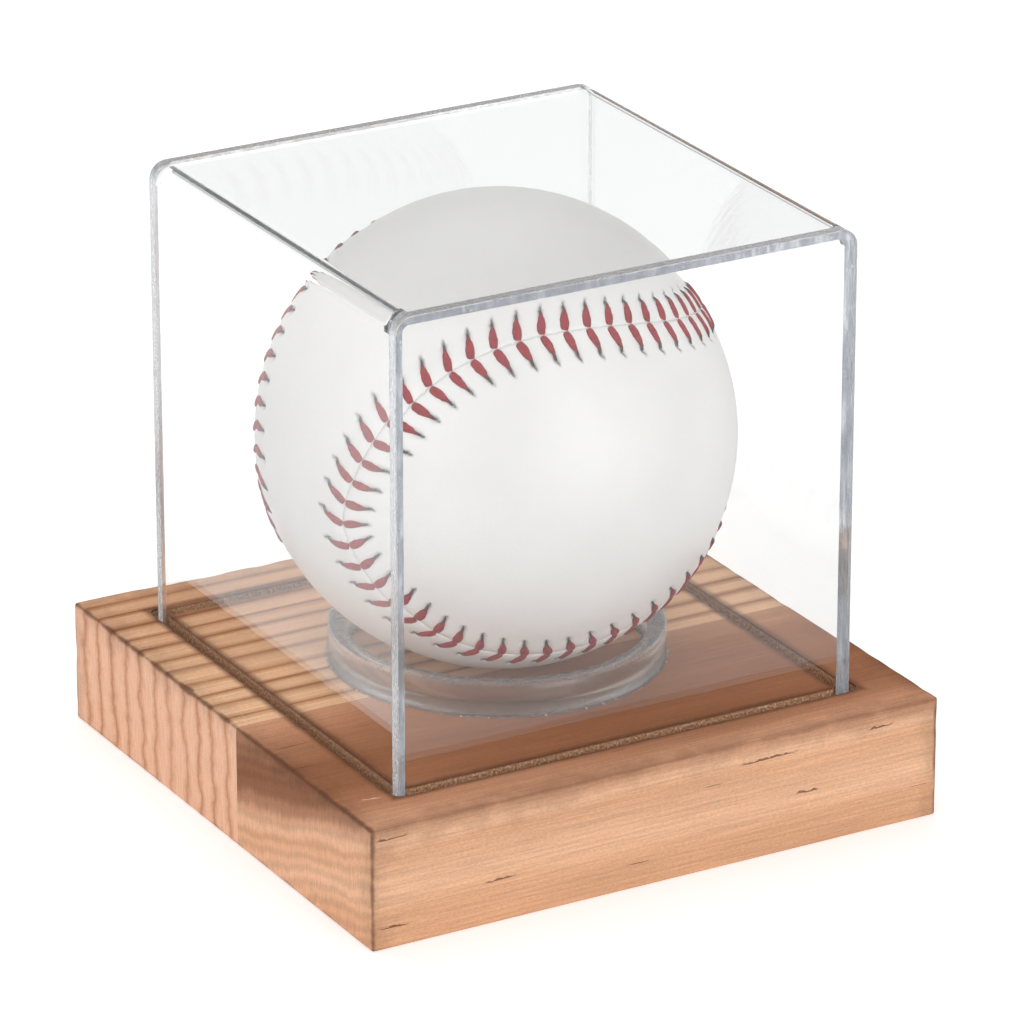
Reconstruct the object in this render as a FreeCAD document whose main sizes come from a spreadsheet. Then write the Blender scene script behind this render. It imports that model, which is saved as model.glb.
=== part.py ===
import FreeCAD, Part
import math
import os

import Sketcher
from BOPTools import SplitAPI

# Display case for one baseball: a square wooden base glued up from two boards, a clear
# cover that stands in a groove in its top, a clear ring that keeps the ball in place, and
# the ball, built up in layers round a cork core.
# Millimetres. The origin is the centre of the base's underside, +Z is up, the long-grain
# front of the base faces -Y and its end grain faces -X and +X.

doc = FreeCAD.newDocument("ball_display_case")

# ---------------------------------------------------------------- driving dimensions

SIZES = {
    "base_side": 100.0,
    "base_height": 20.0,
    "base_arris": 0.4,
    "glue_line_setback": 6.4,
    "groove_depth": 4.0,
    "platform_side": 75.8,
    "groove_width": 3.4,
    "groove_corner": 2.0,
    "cover_side": 80.0,
    "cover_height": 80.0,
    "cover_wall": 1.8,
    "cover_bend": 3.0,
    "panel_edge": 0.25,
    "ring_outer": 26.0,
    "ring_wall": 2.8,
    "ring_height": 5.4,
    "ring_bevel": 0.3,
    "glue_film": 0.15,
    "glue_squeeze": 0.4,
    "ball_radius": 36.8,
    "ball_gap": 0.2,
    "cork_radius": 10.3,
    "cup_radius": 13.8,
    "washer_thickness": 0.8,
    "red_rubber_radius": 17.2,
    "first_winding_radius": 30.9,
    "second_winding_radius": 32.9,
    "third_winding_radius": 34.9,
    "finishing_radius": 35.4,
    "layer_gap": 0.1,
    "stitch_length": 4.2,
    "stitch_width": 0.8,
    "stitch_height": 0.35,
    "stitch_inset": 0.55,
}

# The seam of a baseball: how far its waves reach towards the poles, as an angle, and how
# the ball is turned as it lies in the ring.
SEAM_SHAPE = 0.358
BALL_YAW = -88.0
BALL_ROLL = 96.0
STITCH_PAIRS = 108
STITCH_SLANT = 74.0
SEAM_POINTS = 96

sheet = doc.addObject("Spreadsheet::Sheet", "sizes")
for row, (alias, value) in enumerate(SIZES.items(), start=1):
    sheet.set(f"A{row}", alias)
    sheet.set(f"B{row}", str(value))
    sheet.setAlias(f"B{row}", alias)
doc.recompute()

HALF_BASE = "sizes.base_side / 2"
HALF_PLATFORM = "sizes.platform_side / 2"
HALF_GROOVE = "(sizes.platform_side / 2 + sizes.groove_width)"
HALF_COVER = "sizes.cover_side / 2"
INNER_COVER = "(sizes.cover_side / 2 - sizes.cover_wall)"
COVER_FOOT = "(sizes.base_height - sizes.groove_depth)"
COVER_TOP = "(sizes.base_height - sizes.groove_depth + sizes.cover_height)"
RING_INNER = "(sizes.ring_outer - sizes.ring_wall)"
RING_FOOT = "(sizes.base_height + sizes.glue_film)"
RING_TOP = "(sizes.base_height + sizes.glue_film + sizes.ring_height)"
BALL_CENTRE = "(sizes.base_height + sizes.ball_gap + sizes.ball_radius)"

parts = []


def value_of(rule):
    """The number that an expression on the sheet comes to."""
    return float(sheet.evalExpression(rule))


def new_part(kind, label):
    """A document object that becomes one node and one STEP file."""
    obj = doc.addObject(kind, label)
    obj.Label = label
    parts.append(obj)
    return obj


# ---------------------------------------------------------------- sketch and edge helpers

def sketch_on(body, name, plane):
    """A new sketch on one of the body's own origin planes."""
    sketch = body.newObject("Sketcher::SketchObject", name)
    support = [one for one in body.Origin.OriginFeatures if one.Role == plane][0]
    sketch.AttachmentSupport = [(support, "")]
    sketch.MapMode = "FlatFace"
    return sketch


def draw_outline(sketch, corners):
    """A closed straight-sided outline, each corner held by two expressions."""
    spots = [FreeCAD.Vector(value_of(x), value_of(y), 0) for x, y in corners]
    first = sketch.GeometryCount
    count = len(corners)
    for k in range(count):
        sketch.addGeometry(Part.LineSegment(spots[k], spots[(k + 1) % count]), False)
    for k in range(count):
        joined = first + (k + 1) % count
        sketch.addConstraint(Sketcher.Constraint("Coincident", first + k, 2, joined, 1))
    for k, (x, y) in enumerate(corners):
        for kind, rule, size in (("DistanceX", x, spots[k].x), ("DistanceY", y, spots[k].y)):
            number = sketch.addConstraint(
                Sketcher.Constraint(kind, -1, 1, first + k, 1, size))
            sketch.setExpression(f"Constraints[{number}]", rule)


def rectangle(left, right, low, high):
    return [(left, low), (right, low), (right, high), (left, high)]


def edges_where(shape, test):
    """Names of the edges whose two ends and middle all pass a test on the point."""
    names = []
    for number, edge in enumerate(shape.Edges, start=1):
        middle = edge.valueAt((edge.FirstParameter + edge.LastParameter) / 2)
        spots = [vertex.Point for vertex in edge.Vertexes] + [middle]
        if all(test(spot) for spot in spots):
            names.append(f"Edge{number}")
    return names


def round_edges(body, name, test, radius):
    """A fillet on the chosen edges of the body as it stands."""
    doc.recompute()
    base = body.Tip
    chosen = edges_where(base.Shape, test)
    if not chosen:
        raise RuntimeError(f"{name}: no edge to round")
    fillet = body.newObject("PartDesign::Fillet", name)
    fillet.Base = (base, chosen)
    fillet.setExpression("Radius", radius)
    doc.recompute()


def near(a, b):
    return abs(a - b) < 1e-4


# ---------------------------------------------------------------- wooden base

def base_board(label, low_y, high_y, outer_y):
    """One board of the base, with its share of the groove that the cover stands in."""
    body = new_part("PartDesign::Body", label)
    outline = sketch_on(body, label + "_outline", "XY_Plane")
    draw_outline(outline, rectangle("-" + HALF_BASE, HALF_BASE, low_y, high_y))
    board = body.newObject("PartDesign::Pad", label + "_pad")
    board.Profile = outline
    board.setExpression("Length", "sizes.base_height")
    doc.recompute()
    whole = board.Shape.Volume

    groove = sketch_on(body, label + "_groove_outline", "XY_Plane")
    groove.setExpression(".AttachmentOffset.Base.z", "sizes.base_height")
    for half in (HALF_GROOVE, HALF_PLATFORM):
        draw_outline(groove, rectangle("-" + half, half, "-" + half, half))
    pocket = body.newObject("PartDesign::Pocket", label + "_groove")
    pocket.Profile = groove
    pocket.setExpression("Length", "sizes.groove_depth")
    doc.recompute()
    if pocket.Shape.Volume > whole - 1:
        raise RuntimeError(f"{label}: the groove cut nothing")

    half_groove = value_of(HALF_GROOVE)
    groove_side = half_groove if outer_y > 0 else -half_groove

    def at_groove_corner(spot):
        return near(abs(spot.x), half_groove) and near(spot.y, groove_side)

    round_edges(body, label + "_cutter_corners", at_groove_corner, "sizes.groove_corner")

    half_base = value_of(HALF_BASE)
    height = value_of("sizes.base_height")

    def on_outer_arris(spot):
        faces = [near(abs(spot.x), half_base), near(spot.y, outer_y),
                 near(spot.z, 0) or near(spot.z, height)]
        return sum(faces) >= 2

    round_edges(body, label + "_arrises", on_outer_arris, "sizes.base_arris")


base_board("base_front_board", "-" + HALF_BASE, "-sizes.glue_line_setback",
           -value_of(HALF_BASE))
base_board("base_rear_board", "-sizes.glue_line_setback", HALF_BASE, value_of(HALF_BASE))


# ---------------------------------------------------------------- ring and its glue

def turned_body(label, profile):
    """A solid of revolution about +Z from a closed outline of (radius, height) points."""
    body = new_part("PartDesign::Body", label)
    sketch = sketch_on(body, label + "_profile", "XZ_Plane")
    draw_outline(sketch, profile)
    turned = body.newObject("PartDesign::Revolution", label + "_turned")
    turned.Profile = sketch
    turned.ReferenceAxis = (sketch, ["V_Axis"])
    turned.Angle = 360.0
    doc.recompute()


turned_body("ring_stand", [
    (RING_INNER, RING_FOOT),
    ("sizes.ring_outer", RING_FOOT),
    ("sizes.ring_outer", RING_TOP + " - sizes.ring_bevel"),
    ("sizes.ring_outer - sizes.ring_bevel", RING_TOP),
    (RING_INNER + " + sizes.ring_bevel", RING_TOP),
    (RING_INNER, RING_TOP + " - sizes.ring_bevel"),
])
turned_body("ring_adhesive", rectangle(
    RING_INNER + " - sizes.glue_squeeze", "sizes.ring_outer + sizes.glue_squeeze",
    "sizes.base_height", RING_FOOT))


# ---------------------------------------------------------------- clear cover

def bent_sheet():
    """Left wall, top and right wall of the cover: one sheet with two bends along Y."""
    body = new_part("PartDesign::Body", "cover_bent_sheet")
    sketch = sketch_on(body, "cover_bent_sheet_profile", "XZ_Plane")
    under_top = COVER_TOP + " - sizes.cover_wall"
    draw_outline(sketch, [
        ("-" + HALF_COVER, COVER_FOOT), ("-" + INNER_COVER, COVER_FOOT),
        ("-" + INNER_COVER, under_top), (INNER_COVER, under_top),
        (INNER_COVER, COVER_FOOT), (HALF_COVER, COVER_FOOT),
        (HALF_COVER, COVER_TOP), ("-" + HALF_COVER, COVER_TOP),
    ])
    pad = body.newObject("PartDesign::Pad", "cover_bent_sheet_pad")
    pad.Profile = sketch
    pad.Midplane = True
    pad.setExpression("Length", "sizes.cover_side - 2 * sizes.cover_wall")
    doc.recompute()

    half, top = value_of(HALF_COVER), value_of(COVER_TOP)
    inner, under = value_of(INNER_COVER), value_of(under_top)
    round_edges(body, "cover_bends_outside",
                lambda spot: near(abs(spot.x), half) and near(spot.z, top),
                "sizes.cover_bend")
    round_edges(body, "cover_bends_inside",
                lambda spot: near(abs(spot.x), inner) and near(spot.z, under),
                "sizes.cover_bend - sizes.cover_wall")


def end_panel(label, side):
    """A flat panel glued to one end of the bent sheet. side is -1 for front, 1 for back."""
    body = new_part("PartDesign::Body", label)
    sketch = sketch_on(body, label + "_outline", "XZ_Plane")
    draw_outline(sketch, rectangle("-" + HALF_COVER, HALF_COVER, COVER_FOOT, COVER_TOP))
    pad = body.newObject("PartDesign::Pad", label + "_pad")
    pad.Profile = sketch
    pad.Midplane = True
    pad.setExpression("Length", "sizes.cover_wall")
    doc.recompute()

    half, top = value_of(HALF_COVER), value_of(COVER_TOP)
    face = side * value_of("sizes.cover_wall / 2")
    round_edges(body, label + "_corners",
                lambda spot: near(abs(spot.x), half) and near(spot.z, top),
                "sizes.cover_bend")
    round_edges(body, label + "_polished_edge", lambda spot: near(spot.y, face),
                "sizes.panel_edge")
    body.setExpression(".Placement.Base.y", f"{side} * (sizes.cover_side - sizes.cover_wall) / 2")


bent_sheet()
end_panel("cover_front_panel", -1)
end_panel("cover_back_panel", 1)


# ---------------------------------------------------------------- inside the ball

def ball_sphere(name, radius, lowest_angle=-90.0):
    """A sphere about the ball's centre, or its upper half."""
    sphere = doc.addObject("Part::Sphere", name)
    sphere.setExpression("Radius", radius)
    sphere.Angle1 = lowest_angle
    return sphere


def seat_in_ball(obj, roll=0.0):
    """Put a piece made about the origin at the ball's centre, turned as the ball lies."""
    turn = FreeCAD.Rotation(BALL_YAW, 0, BALL_ROLL + roll)
    obj.Placement = FreeCAD.Placement(FreeCAD.Vector(0, 0, value_of(BALL_CENTRE)), turn)
    obj.setExpression(".Placement.Base.z", BALL_CENTRE)


def ball_layer(label, outer, inner):
    """One closed layer: a sphere less the sphere that it was built up on."""
    layer = new_part("Part::Cut", label)
    layer.Base = ball_sphere(label + "_outside", outer)
    layer.Tool = ball_sphere(label + "_inside", inner + " + sizes.layer_gap")
    seat_in_ball(layer)


def rubber_disc(name, radius):
    disc = doc.addObject("Part::Cylinder", name)
    disc.setExpression("Radius", radius)
    disc.setExpression("Height", "sizes.washer_thickness")
    disc.setExpression(".Placement.Base.z", "-sizes.washer_thickness / 2")
    return disc


def black_rubber_cup(label, roll):
    """One of the two rubber cups that close round the cork, cut back for the washer."""
    shell = doc.addObject("Part::Cut", label + "_shell")
    shell.Base = ball_sphere(label + "_outside", "sizes.cup_radius", 0.0)
    shell.Tool = ball_sphere(label + "_inside", "sizes.cork_radius + sizes.layer_gap")
    cup = new_part("Part::Cut", label)
    cup.Base = shell
    cup.Tool = rubber_disc(label + "_parting", "sizes.cup_radius + 1")
    seat_in_ball(cup, roll)


core = ball_sphere("ball_cork_core", "sizes.cork_radius")
core.Label = "ball_cork_core"
seat_in_ball(core)
parts.append(core)

black_rubber_cup("ball_black_rubber_upper_cup", 0.0)
black_rubber_cup("ball_black_rubber_lower_cup", 180.0)

washer = new_part("Part::Cut", "ball_red_rubber_washer")
washer.Base = rubber_disc("washer_outside", "sizes.cup_radius - sizes.layer_gap")
washer.Tool = rubber_disc("washer_inside", "sizes.cork_radius + sizes.layer_gap")
seat_in_ball(washer)

LAYERS = [
    ("ball_red_rubber_shell", "sizes.red_rubber_radius", "sizes.cup_radius"),
    ("ball_first_wool_winding", "sizes.first_winding_radius", "sizes.red_rubber_radius"),
    ("ball_second_wool_winding", "sizes.second_winding_radius",
     "sizes.first_winding_radius"),
    ("ball_third_wool_winding", "sizes.third_winding_radius",
     "sizes.second_winding_radius"),
    ("ball_finishing_winding", "sizes.finishing_radius", "sizes.third_winding_radius"),
]
for label, outer, inner in LAYERS:
    ball_layer(label, outer, inner)


# ---------------------------------------------------------------- leather and stitching

def seam_direction(turn):
    """Unit vector from the ball's centre to its seam; turn runs once from 0 to 4 pi."""
    polar = math.pi / 2 - (math.pi / 2 - SEAM_SHAPE) * math.cos(turn)
    around = turn / 2 + SEAM_SHAPE * math.sin(2 * turn)
    return FreeCAD.Vector(math.sin(polar) * math.cos(around),
                          math.sin(polar) * math.sin(around), math.cos(polar))


def seam_turns(count):
    """Values of turn that divide the seam into equal lengths."""
    fine = 4000
    reached = [0.0]
    for k in range(fine):
        here = seam_direction(4 * math.pi * k / fine)
        there = seam_direction(4 * math.pi * (k + 1) / fine)
        reached.append(reached[-1] + here.distanceToPoint(there))
    turns = []
    k = 0
    for step in range(count):
        wanted = reached[-1] * step / count
        while reached[k + 1] <= wanted:
            k += 1
        part = (wanted - reached[k]) / (reached[k + 1] - reached[k])
        turns.append(4 * math.pi * (k + part) / fine)
    return turns


def seam_curve(radius):
    """The whole seam as one closed curve at the given distance from the centre."""
    curve = Part.BSplineCurve()
    points = [seam_direction(turn) * radius for turn in seam_turns(SEAM_POINTS)]
    curve.interpolate(Points=points, PeriodicFlag=True)
    return curve.toShape()


def leather_halves():
    """The hollow leather ball, parted along the seam into its two figure-eight pieces."""
    outer = value_of("sizes.ball_radius")
    inner = value_of("sizes.finishing_radius + sizes.layer_gap")
    hollow = Part.makeSphere(outer).cut(Part.makeSphere(inner))
    cutting_band = Part.makeRuledSurface(seam_curve(inner - 3), seam_curve(outer + 3))
    pieces = SplitAPI.slice(hollow, [cutting_band], "Split").Solids
    if len(pieces) != 2:
        raise RuntimeError(f"the seam parts the leather into {len(pieces)} pieces, not 2")
    pieces.sort(key=lambda piece: piece.CenterOfMass.z + piece.BoundBox.ZMax)
    for label, piece in zip(("ball_leather_first_half", "ball_leather_second_half"), pieces):
        half = new_part("Part::Feature", label)
        half.Shape = piece
        seat_in_ball(half)


def stitch_arm(foot, forward, side):
    """One straight run of thread from the seam out over the leather.

    foot is the seam's direction at the stitch, forward runs along the seam, and side is
    +1 or -1 for the two sides of the seam.
    """
    radius = value_of("sizes.ball_radius")
    length = value_of("sizes.stitch_length")
    width = value_of("sizes.stitch_width")
    inset = value_of("sizes.stitch_inset")
    across = foot.cross(forward) * side
    slant = math.radians(STITCH_SLANT)
    out = forward * math.cos(slant) + across * math.sin(slant)
    reach = (inset + length / 2) / radius
    up = foot * math.cos(reach) + out * math.sin(reach)
    along = out * math.cos(reach) - foot * math.sin(reach)
    flat = up.cross(along)
    thread = Part.makeBox(length, width, value_of("sizes.stitch_height"),
                          FreeCAD.Vector(-length / 2, -width / 2, radius + 0.02))
    turn = FreeCAD.Matrix(along.x, flat.x, up.x, 0, along.y, flat.y, up.y, 0,
                          along.z, flat.z, up.z, 0, 0, 0, 0, 1)
    thread.Placement = FreeCAD.Placement(turn) * thread.Placement
    return thread


def stitching():
    """Pairs of slanting stitches, evenly spaced along the whole seam."""
    threads = []
    for turn in seam_turns(STITCH_PAIRS):
        foot = seam_direction(turn)
        ahead = seam_direction(turn + 0.001) - seam_direction(turn - 0.001)
        forward = (ahead - foot * ahead.dot(foot)).normalize()
        for side in (1, -1):
            threads.append(stitch_arm(foot, forward, side))
    node = new_part("Part::Feature", "ball_red_stitching")
    node.Shape = Part.makeCompound(threads)
    seat_in_ball(node)


leather_halves()
stitching()

# ---------------------------------------------------------------- checks and files

doc.recompute()
for obj in doc.Objects:
    if "Invalid" in obj.State or "Error" in obj.State:
        raise RuntimeError(f"{obj.Name} failed: {obj.State}")
for obj in parts:
    if obj.Shape.isNull() or not obj.Shape.isValid():
        raise RuntimeError(f"{obj.Label} has no valid shape")

os.makedirs("parts", exist_ok=True)
for obj in parts:
    obj.Shape.exportStep(f"parts/{obj.Label}.step")
    print(f"{obj.Label}: {obj.Shape.Volume:.1f} mm3, {len(obj.Shape.Solids)} solid(s)")
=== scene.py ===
import math
import random

import bmesh
import bpy
from mathutils import Matrix, Vector, noise
from mathutils.kdtree import KDTree


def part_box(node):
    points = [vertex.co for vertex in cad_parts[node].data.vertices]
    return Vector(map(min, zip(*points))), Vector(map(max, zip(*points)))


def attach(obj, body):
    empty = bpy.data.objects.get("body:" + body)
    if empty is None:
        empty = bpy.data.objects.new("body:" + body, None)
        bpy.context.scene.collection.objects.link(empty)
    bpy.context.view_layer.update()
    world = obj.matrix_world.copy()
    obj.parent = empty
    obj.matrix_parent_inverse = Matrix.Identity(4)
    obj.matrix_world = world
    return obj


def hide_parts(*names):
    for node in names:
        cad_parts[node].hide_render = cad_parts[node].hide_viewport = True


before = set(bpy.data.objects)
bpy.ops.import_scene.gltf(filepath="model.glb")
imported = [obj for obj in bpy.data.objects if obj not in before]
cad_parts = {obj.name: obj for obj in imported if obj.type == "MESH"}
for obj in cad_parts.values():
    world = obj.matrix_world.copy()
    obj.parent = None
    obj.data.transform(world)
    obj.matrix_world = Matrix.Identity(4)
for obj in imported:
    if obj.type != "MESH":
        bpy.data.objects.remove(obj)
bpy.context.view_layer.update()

MM = 0.001
FULL_TURN = 6.2832
ACRYLIC_IOR = 1.49
CEMENT_IOR = 1.46

# Sizes in millimetres, from the middle of the base's underside.
BASE_HALF = 50.0
BASE_TOP = 20.0
GROOVE_FLOOR = 16.0
GROOVE_INSIDE = 37.9
GROOVE_MIDDLE = 39.6
GROOVE_OUTSIDE = 41.3
RING_OUTER = 26.0
RING_WALL = 2.8
RING_FOOT = 20.17  # 0.02 above the glue, since faces that coincide render black
RING_TOP = 25.55
RING_BEVEL = 0.3
COVER_HALF = 40.0
COVER_WALL = 1.8
COVER_BEND = 3.0
COVER_FOOT = 16.0
COVER_TOP = 96.0
GLUE_GAP = 0.03  # between sheet and panels, for the same reason
BALL_RADIUS = 36.8
LEATHER = 1.2

# How finely the pieces are cut.
WELD = 0.001
CUT_TOLERANCE = 0.0001
BOARD_STEP = 1.0
ON_WALL = 0.06
NEAR_ARRIS = 0.5
RING_SIDES = 180
SHEET_STEPS = 40
SIDE_STEPS = 24
BEND_STEPS = 12
PANEL_CUTS = range(18, 95, 2)

# ---------------------------------------------------------------- camera

VIEW_AZIMUTH = math.radians(-29.6)
VIEW_ELEVATION = math.radians(22.25)
VIEW_DISTANCE = 1.054
VIEW_TARGET = Vector((0.0018, -0.0010, 0.0433))
LENS = 237.0


def add_camera():
    """Long-lens view from the front left, a little above the case."""
    flat = math.cos(VIEW_ELEVATION)
    back = Vector((math.sin(VIEW_AZIMUTH) * flat, -math.cos(VIEW_AZIMUTH) * flat,
                   math.sin(VIEW_ELEVATION)))
    data = bpy.data.cameras.new("camera")
    data.lens = LENS
    camera = bpy.data.objects.new("camera", data)
    camera.location = VIEW_TARGET + back * VIEW_DISTANCE
    camera.rotation_euler = (-back).to_track_quat("-Z", "Y").to_euler()
    bpy.context.scene.collection.objects.link(camera)
    bpy.context.scene.camera = camera


# ---------------------------------------------------------------- floor and light

ROOM_LIGHT = 0.90
LIGHT_BOUNCES = 64  # with fewer, the edges of the clear plates turn black
FLOOR_REACH = 6.0
MAP_ENDS = ("From Min", "From Max", "To Min", "To Max")
ZENITH = (0.1, 1.0, 1.0, 0.80)
WALLS = ((0, 0.55, 0.95, 0.42), (1, 0.50, 0.95, 0.50))


def add_light(name, place, aim, size, power, colour=(1, 1, 1)):
    data = bpy.data.lights.new(name, "AREA")
    data.shape = "RECTANGLE"
    data.size, data.size_y = size
    data.energy = power
    data.color = colour
    light = bpy.data.objects.new(name, data)
    light.location = place
    light.rotation_euler = (Vector(aim) - Vector(place)).to_track_quat("-Z", "Y").to_euler()
    bpy.context.scene.collection.objects.link(light)


def add_surround():
    """A pale room that is dimmer overhead, with soft darker walls that edges can catch."""
    world = bpy.data.worlds.new("surround")
    world.use_nodes = True
    tree = world.node_tree
    spot = tree.nodes.new("ShaderNodeTexCoord")
    split = tree.nodes.new("ShaderNodeSeparateXYZ")
    tree.links.new(spot.outputs["Generated"], split.inputs[0])

    def eased(output, ends):
        node = tree.nodes.new("ShaderNodeMapRange")
        node.interpolation_type = "SMOOTHSTEP"
        for key, value in zip(MAP_ENDS, ends):
            node.inputs[key].default_value = value
        tree.links.new(split.outputs[output], node.inputs[0])
        return node.outputs[0]

    shade = eased(2, ZENITH)
    for output, low, high, least in WALLS:
        join = tree.nodes.new("ShaderNodeMath")
        join.operation = "MULTIPLY"
        tree.links.new(shade, join.inputs[0])
        tree.links.new(eased(output, (low, high, 1.0, least)), join.inputs[1])
        shade = join.outputs[0]
    tree.links.new(shade, tree.nodes["Background"].inputs["Color"])
    tree.nodes["Background"].inputs["Strength"].default_value = ROOM_LIGHT
    bpy.context.scene.world = world


def add_studio():
    """A pale floor, a pale room and soft lamps in front and above."""
    paper = Shader("floor_paper")
    paper.surface(**{"Base Color": (0.90, 0.90, 0.90, 1), "Roughness": 0.9})
    paper.main.inputs["Emission Color"].default_value = (1, 1, 1, 1)
    paper.main.inputs["Emission Strength"].default_value = 0.34
    mesh = bpy.data.meshes.new("floor")
    mesh.from_pydata([(-FLOOR_REACH, -FLOOR_REACH, 0), (FLOOR_REACH, -FLOOR_REACH, 0),
                      (FLOOR_REACH, FLOOR_REACH, 0), (-FLOOR_REACH, FLOOR_REACH, 0)],
                     [], [(0, 1, 2, 3)])
    mesh.materials.append(paper.material)
    floor = bpy.data.objects.new("floor", mesh)
    bpy.context.scene.collection.objects.link(floor)

    add_surround()
    bpy.context.scene.view_settings.view_transform = "Standard"
    for kind in ("max_bounces", "glossy_bounces", "transmission_bounces",
                 "transparent_max_bounces"):
        setattr(bpy.context.scene.cycles, kind, LIGHT_BOUNCES)

    add_light("key_front", (0.30, -1.5, 0.50), (0, 0, 0.05), (0.9, 0.7), 4.8)
    add_light("fill_left", (-1.4, -0.3, 0.6), (0, 0, 0.05), (0.7, 0.9), 2.6)
    add_light("top_back", (0.1, 0.7, 1.3), (0, 0, 0.05), (1.0, 0.6), 3.6)


# ---------------------------------------------------------------- node helpers

class Shader:
    """A material's node tree, built by calls that take sockets or plain values."""

    def __init__(self, name):
        self.material = bpy.data.materials.new(name)
        self.material.use_nodes = True
        self.tree = self.material.node_tree
        self.main = self.tree.nodes["Principled BSDF"]
        self.output = self.tree.nodes["Material Output"]

    def put(self, socket, value):
        if isinstance(value, bpy.types.NodeSocket):
            self.tree.links.new(value, socket)
        elif value is not None:
            socket.default_value = value

    def node(self, kind, **settings):
        node = self.tree.nodes.new(kind)
        for key, value in settings.items():
            setattr(node, key, value)
        return node

    def surface(self, **inputs):
        for key, value in inputs.items():
            self.put(self.main.inputs[key], value)

    def math(self, operation, first, second=None):
        node = self.node("ShaderNodeMath", operation=operation)
        for socket, value in zip(node.inputs, (first, second)):
            self.put(socket, value)
        return node.outputs[0]

    def place(self):
        """Object position in millimetres, and the surface's own normal."""
        spot = self.node("ShaderNodeTexCoord")
        scaled = self.node("ShaderNodeVectorMath", operation="SCALE")
        self.put(scaled.inputs[0], spot.outputs["Object"])
        scaled.inputs["Scale"].default_value = 1 / MM
        return scaled.outputs[0], spot.outputs["Normal"]

    def split(self, vector):
        node = self.node("ShaderNodeSeparateXYZ")
        self.put(node.inputs[0], vector)
        return node.outputs

    def join(self, x, y, z):
        node = self.node("ShaderNodeCombineXYZ")
        for socket, value in zip(node.inputs, (x, y, z)):
            self.put(socket, value)
        return node.outputs[0]

    def stretch(self, vector, scale):
        node = self.node("ShaderNodeVectorMath", operation="MULTIPLY")
        self.put(node.inputs[0], vector)
        node.inputs[1].default_value = scale
        return node.outputs[0]

    def noise(self, vector, scale=1.0, detail=2.0, rough=0.5, twist=0.0):
        node = self.node("ShaderNodeTexNoise")
        self.put(node.inputs["Vector"], vector)
        node.inputs["Scale"].default_value = scale
        node.inputs["Detail"].default_value = detail
        node.inputs["Roughness"].default_value = rough
        node.inputs["Distortion"].default_value = twist
        return node.outputs["Fac"]

    def cells(self, vector, scale=1.0):
        node = self.node("ShaderNodeTexVoronoi")
        self.put(node.inputs["Vector"], vector)
        node.inputs["Scale"].default_value = scale
        return node.outputs["Distance"]

    def ease(self, value, low, high, to_low=0.0, to_high=1.0):
        """value from low to high becomes to_low to to_high, smoothly, and stays there."""
        node = self.node("ShaderNodeMapRange", interpolation_type="SMOOTHSTEP")
        self.put(node.inputs["Value"], value)
        for key, number in zip(MAP_ENDS, (low, high, to_low, to_high)):
            node.inputs[key].default_value = number
        return node.outputs[0]

    def ramp(self, value, stops):
        node = self.node("ShaderNodeValToRGB")
        self.put(node.inputs[0], value)
        elements = node.color_ramp.elements
        while len(elements) < len(stops):
            elements.new(0.5)
        for element, (position, colour) in zip(elements, stops):
            element.position = position
            element.color = (*colour, 1)
        return node.outputs[0]

    def mix(self, factor, first, second, blend="MIX"):
        node = self.node("ShaderNodeMix", data_type="RGBA", blend_type=blend)
        self.put(node.inputs[0], factor)
        self.put(node.inputs[6], first if isinstance(first, bpy.types.NodeSocket)
                 else (*first, 1))
        self.put(node.inputs[7], second if isinstance(second, bpy.types.NodeSocket)
                 else (*second, 1))
        return node.outputs[2]

    def bump(self, height, depth, below=None):
        """A normal from a height that is worth depth metres from 0 to 1."""
        node = self.node("ShaderNodeBump")
        node.inputs["Distance"].default_value = depth
        self.put(node.inputs["Height"], height)
        self.put(node.inputs["Normal"], below)
        return node.outputs[0]


def srgb(red, green, blue):
    """Linear colour from 0-255 display values."""
    def linear(part):
        part /= 255
        return part / 12.92 if part <= 0.04045 else ((part + 0.055) / 1.055) ** 2.4
    return (linear(red), linear(green), linear(blue))


# ---------------------------------------------------------------- materials

def box_mm(node):
    """A CAD node's lowest and highest corners in millimetres."""
    low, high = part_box(node)
    return [tuple(part / MM for part in corner) for corner in (low, high)]


def times(s, colour, factor):
    """A colour dimmed or lifted by a number socket."""
    return s.mix(1.0, colour, s.join(factor, factor, factor), "MULTIPLY")


def depths(s, spot):
    """How deep a point lies behind the base's ends, its front and rear, and its top."""
    x, y, z = s.split(spot)
    end = s.math("SUBTRACT", BASE_HALF, s.math("ABSOLUTE", x))
    face = s.math("SUBTRACT", BASE_HALF, s.math("ABSOLUTE", y))
    return end, face, s.math("SUBTRACT", BASE_TOP, z)


def edge_burn(s, spot, wander):
    """How scorched the arrises are: most on the end grain, little along the front."""
    _, y, z = s.split(spot)
    end, face, top = depths(s, spot)
    drift = s.math("MULTIPLY", s.math("SUBTRACT", wander, 0.5), 1.4)

    def arris(first, second, strength, width):
        away = s.math("ADD", s.math("MAXIMUM", first, second), drift)
        return s.ease(away, 0.10, width, strength, 0.0)

    burn = s.math("MAXIMUM", arris(end, top, 0.80, 0.9), arris(end, face, 0.75, 0.8))
    along = s.ease(y, -20.0, 20.0, 0.30, 0.85)
    long_arris = s.math("MULTIPLY", arris(face, top, 1.0, 0.8), along)
    under = arris(end, z, 0.30, 0.6)
    return s.math("MAXIMUM", s.math("MAXIMUM", burn, long_arris), under)


def toast(s, spot, wander):
    """Soft browning of the wood in from its upper arrises."""
    end, face, top = depths(s, spot)
    upper = s.math("MAXIMUM", s.math("MINIMUM", end, face), top)
    corner = s.math("MAXIMUM", end, face)
    near = s.math("MINIMUM", upper, corner)
    near = s.math("ADD", near, s.math("MULTIPLY", s.math("SUBTRACT", wander, 0.5), 9.0))
    return s.ease(near, 0.0, 4.5, 0.80, 1.0)


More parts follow.
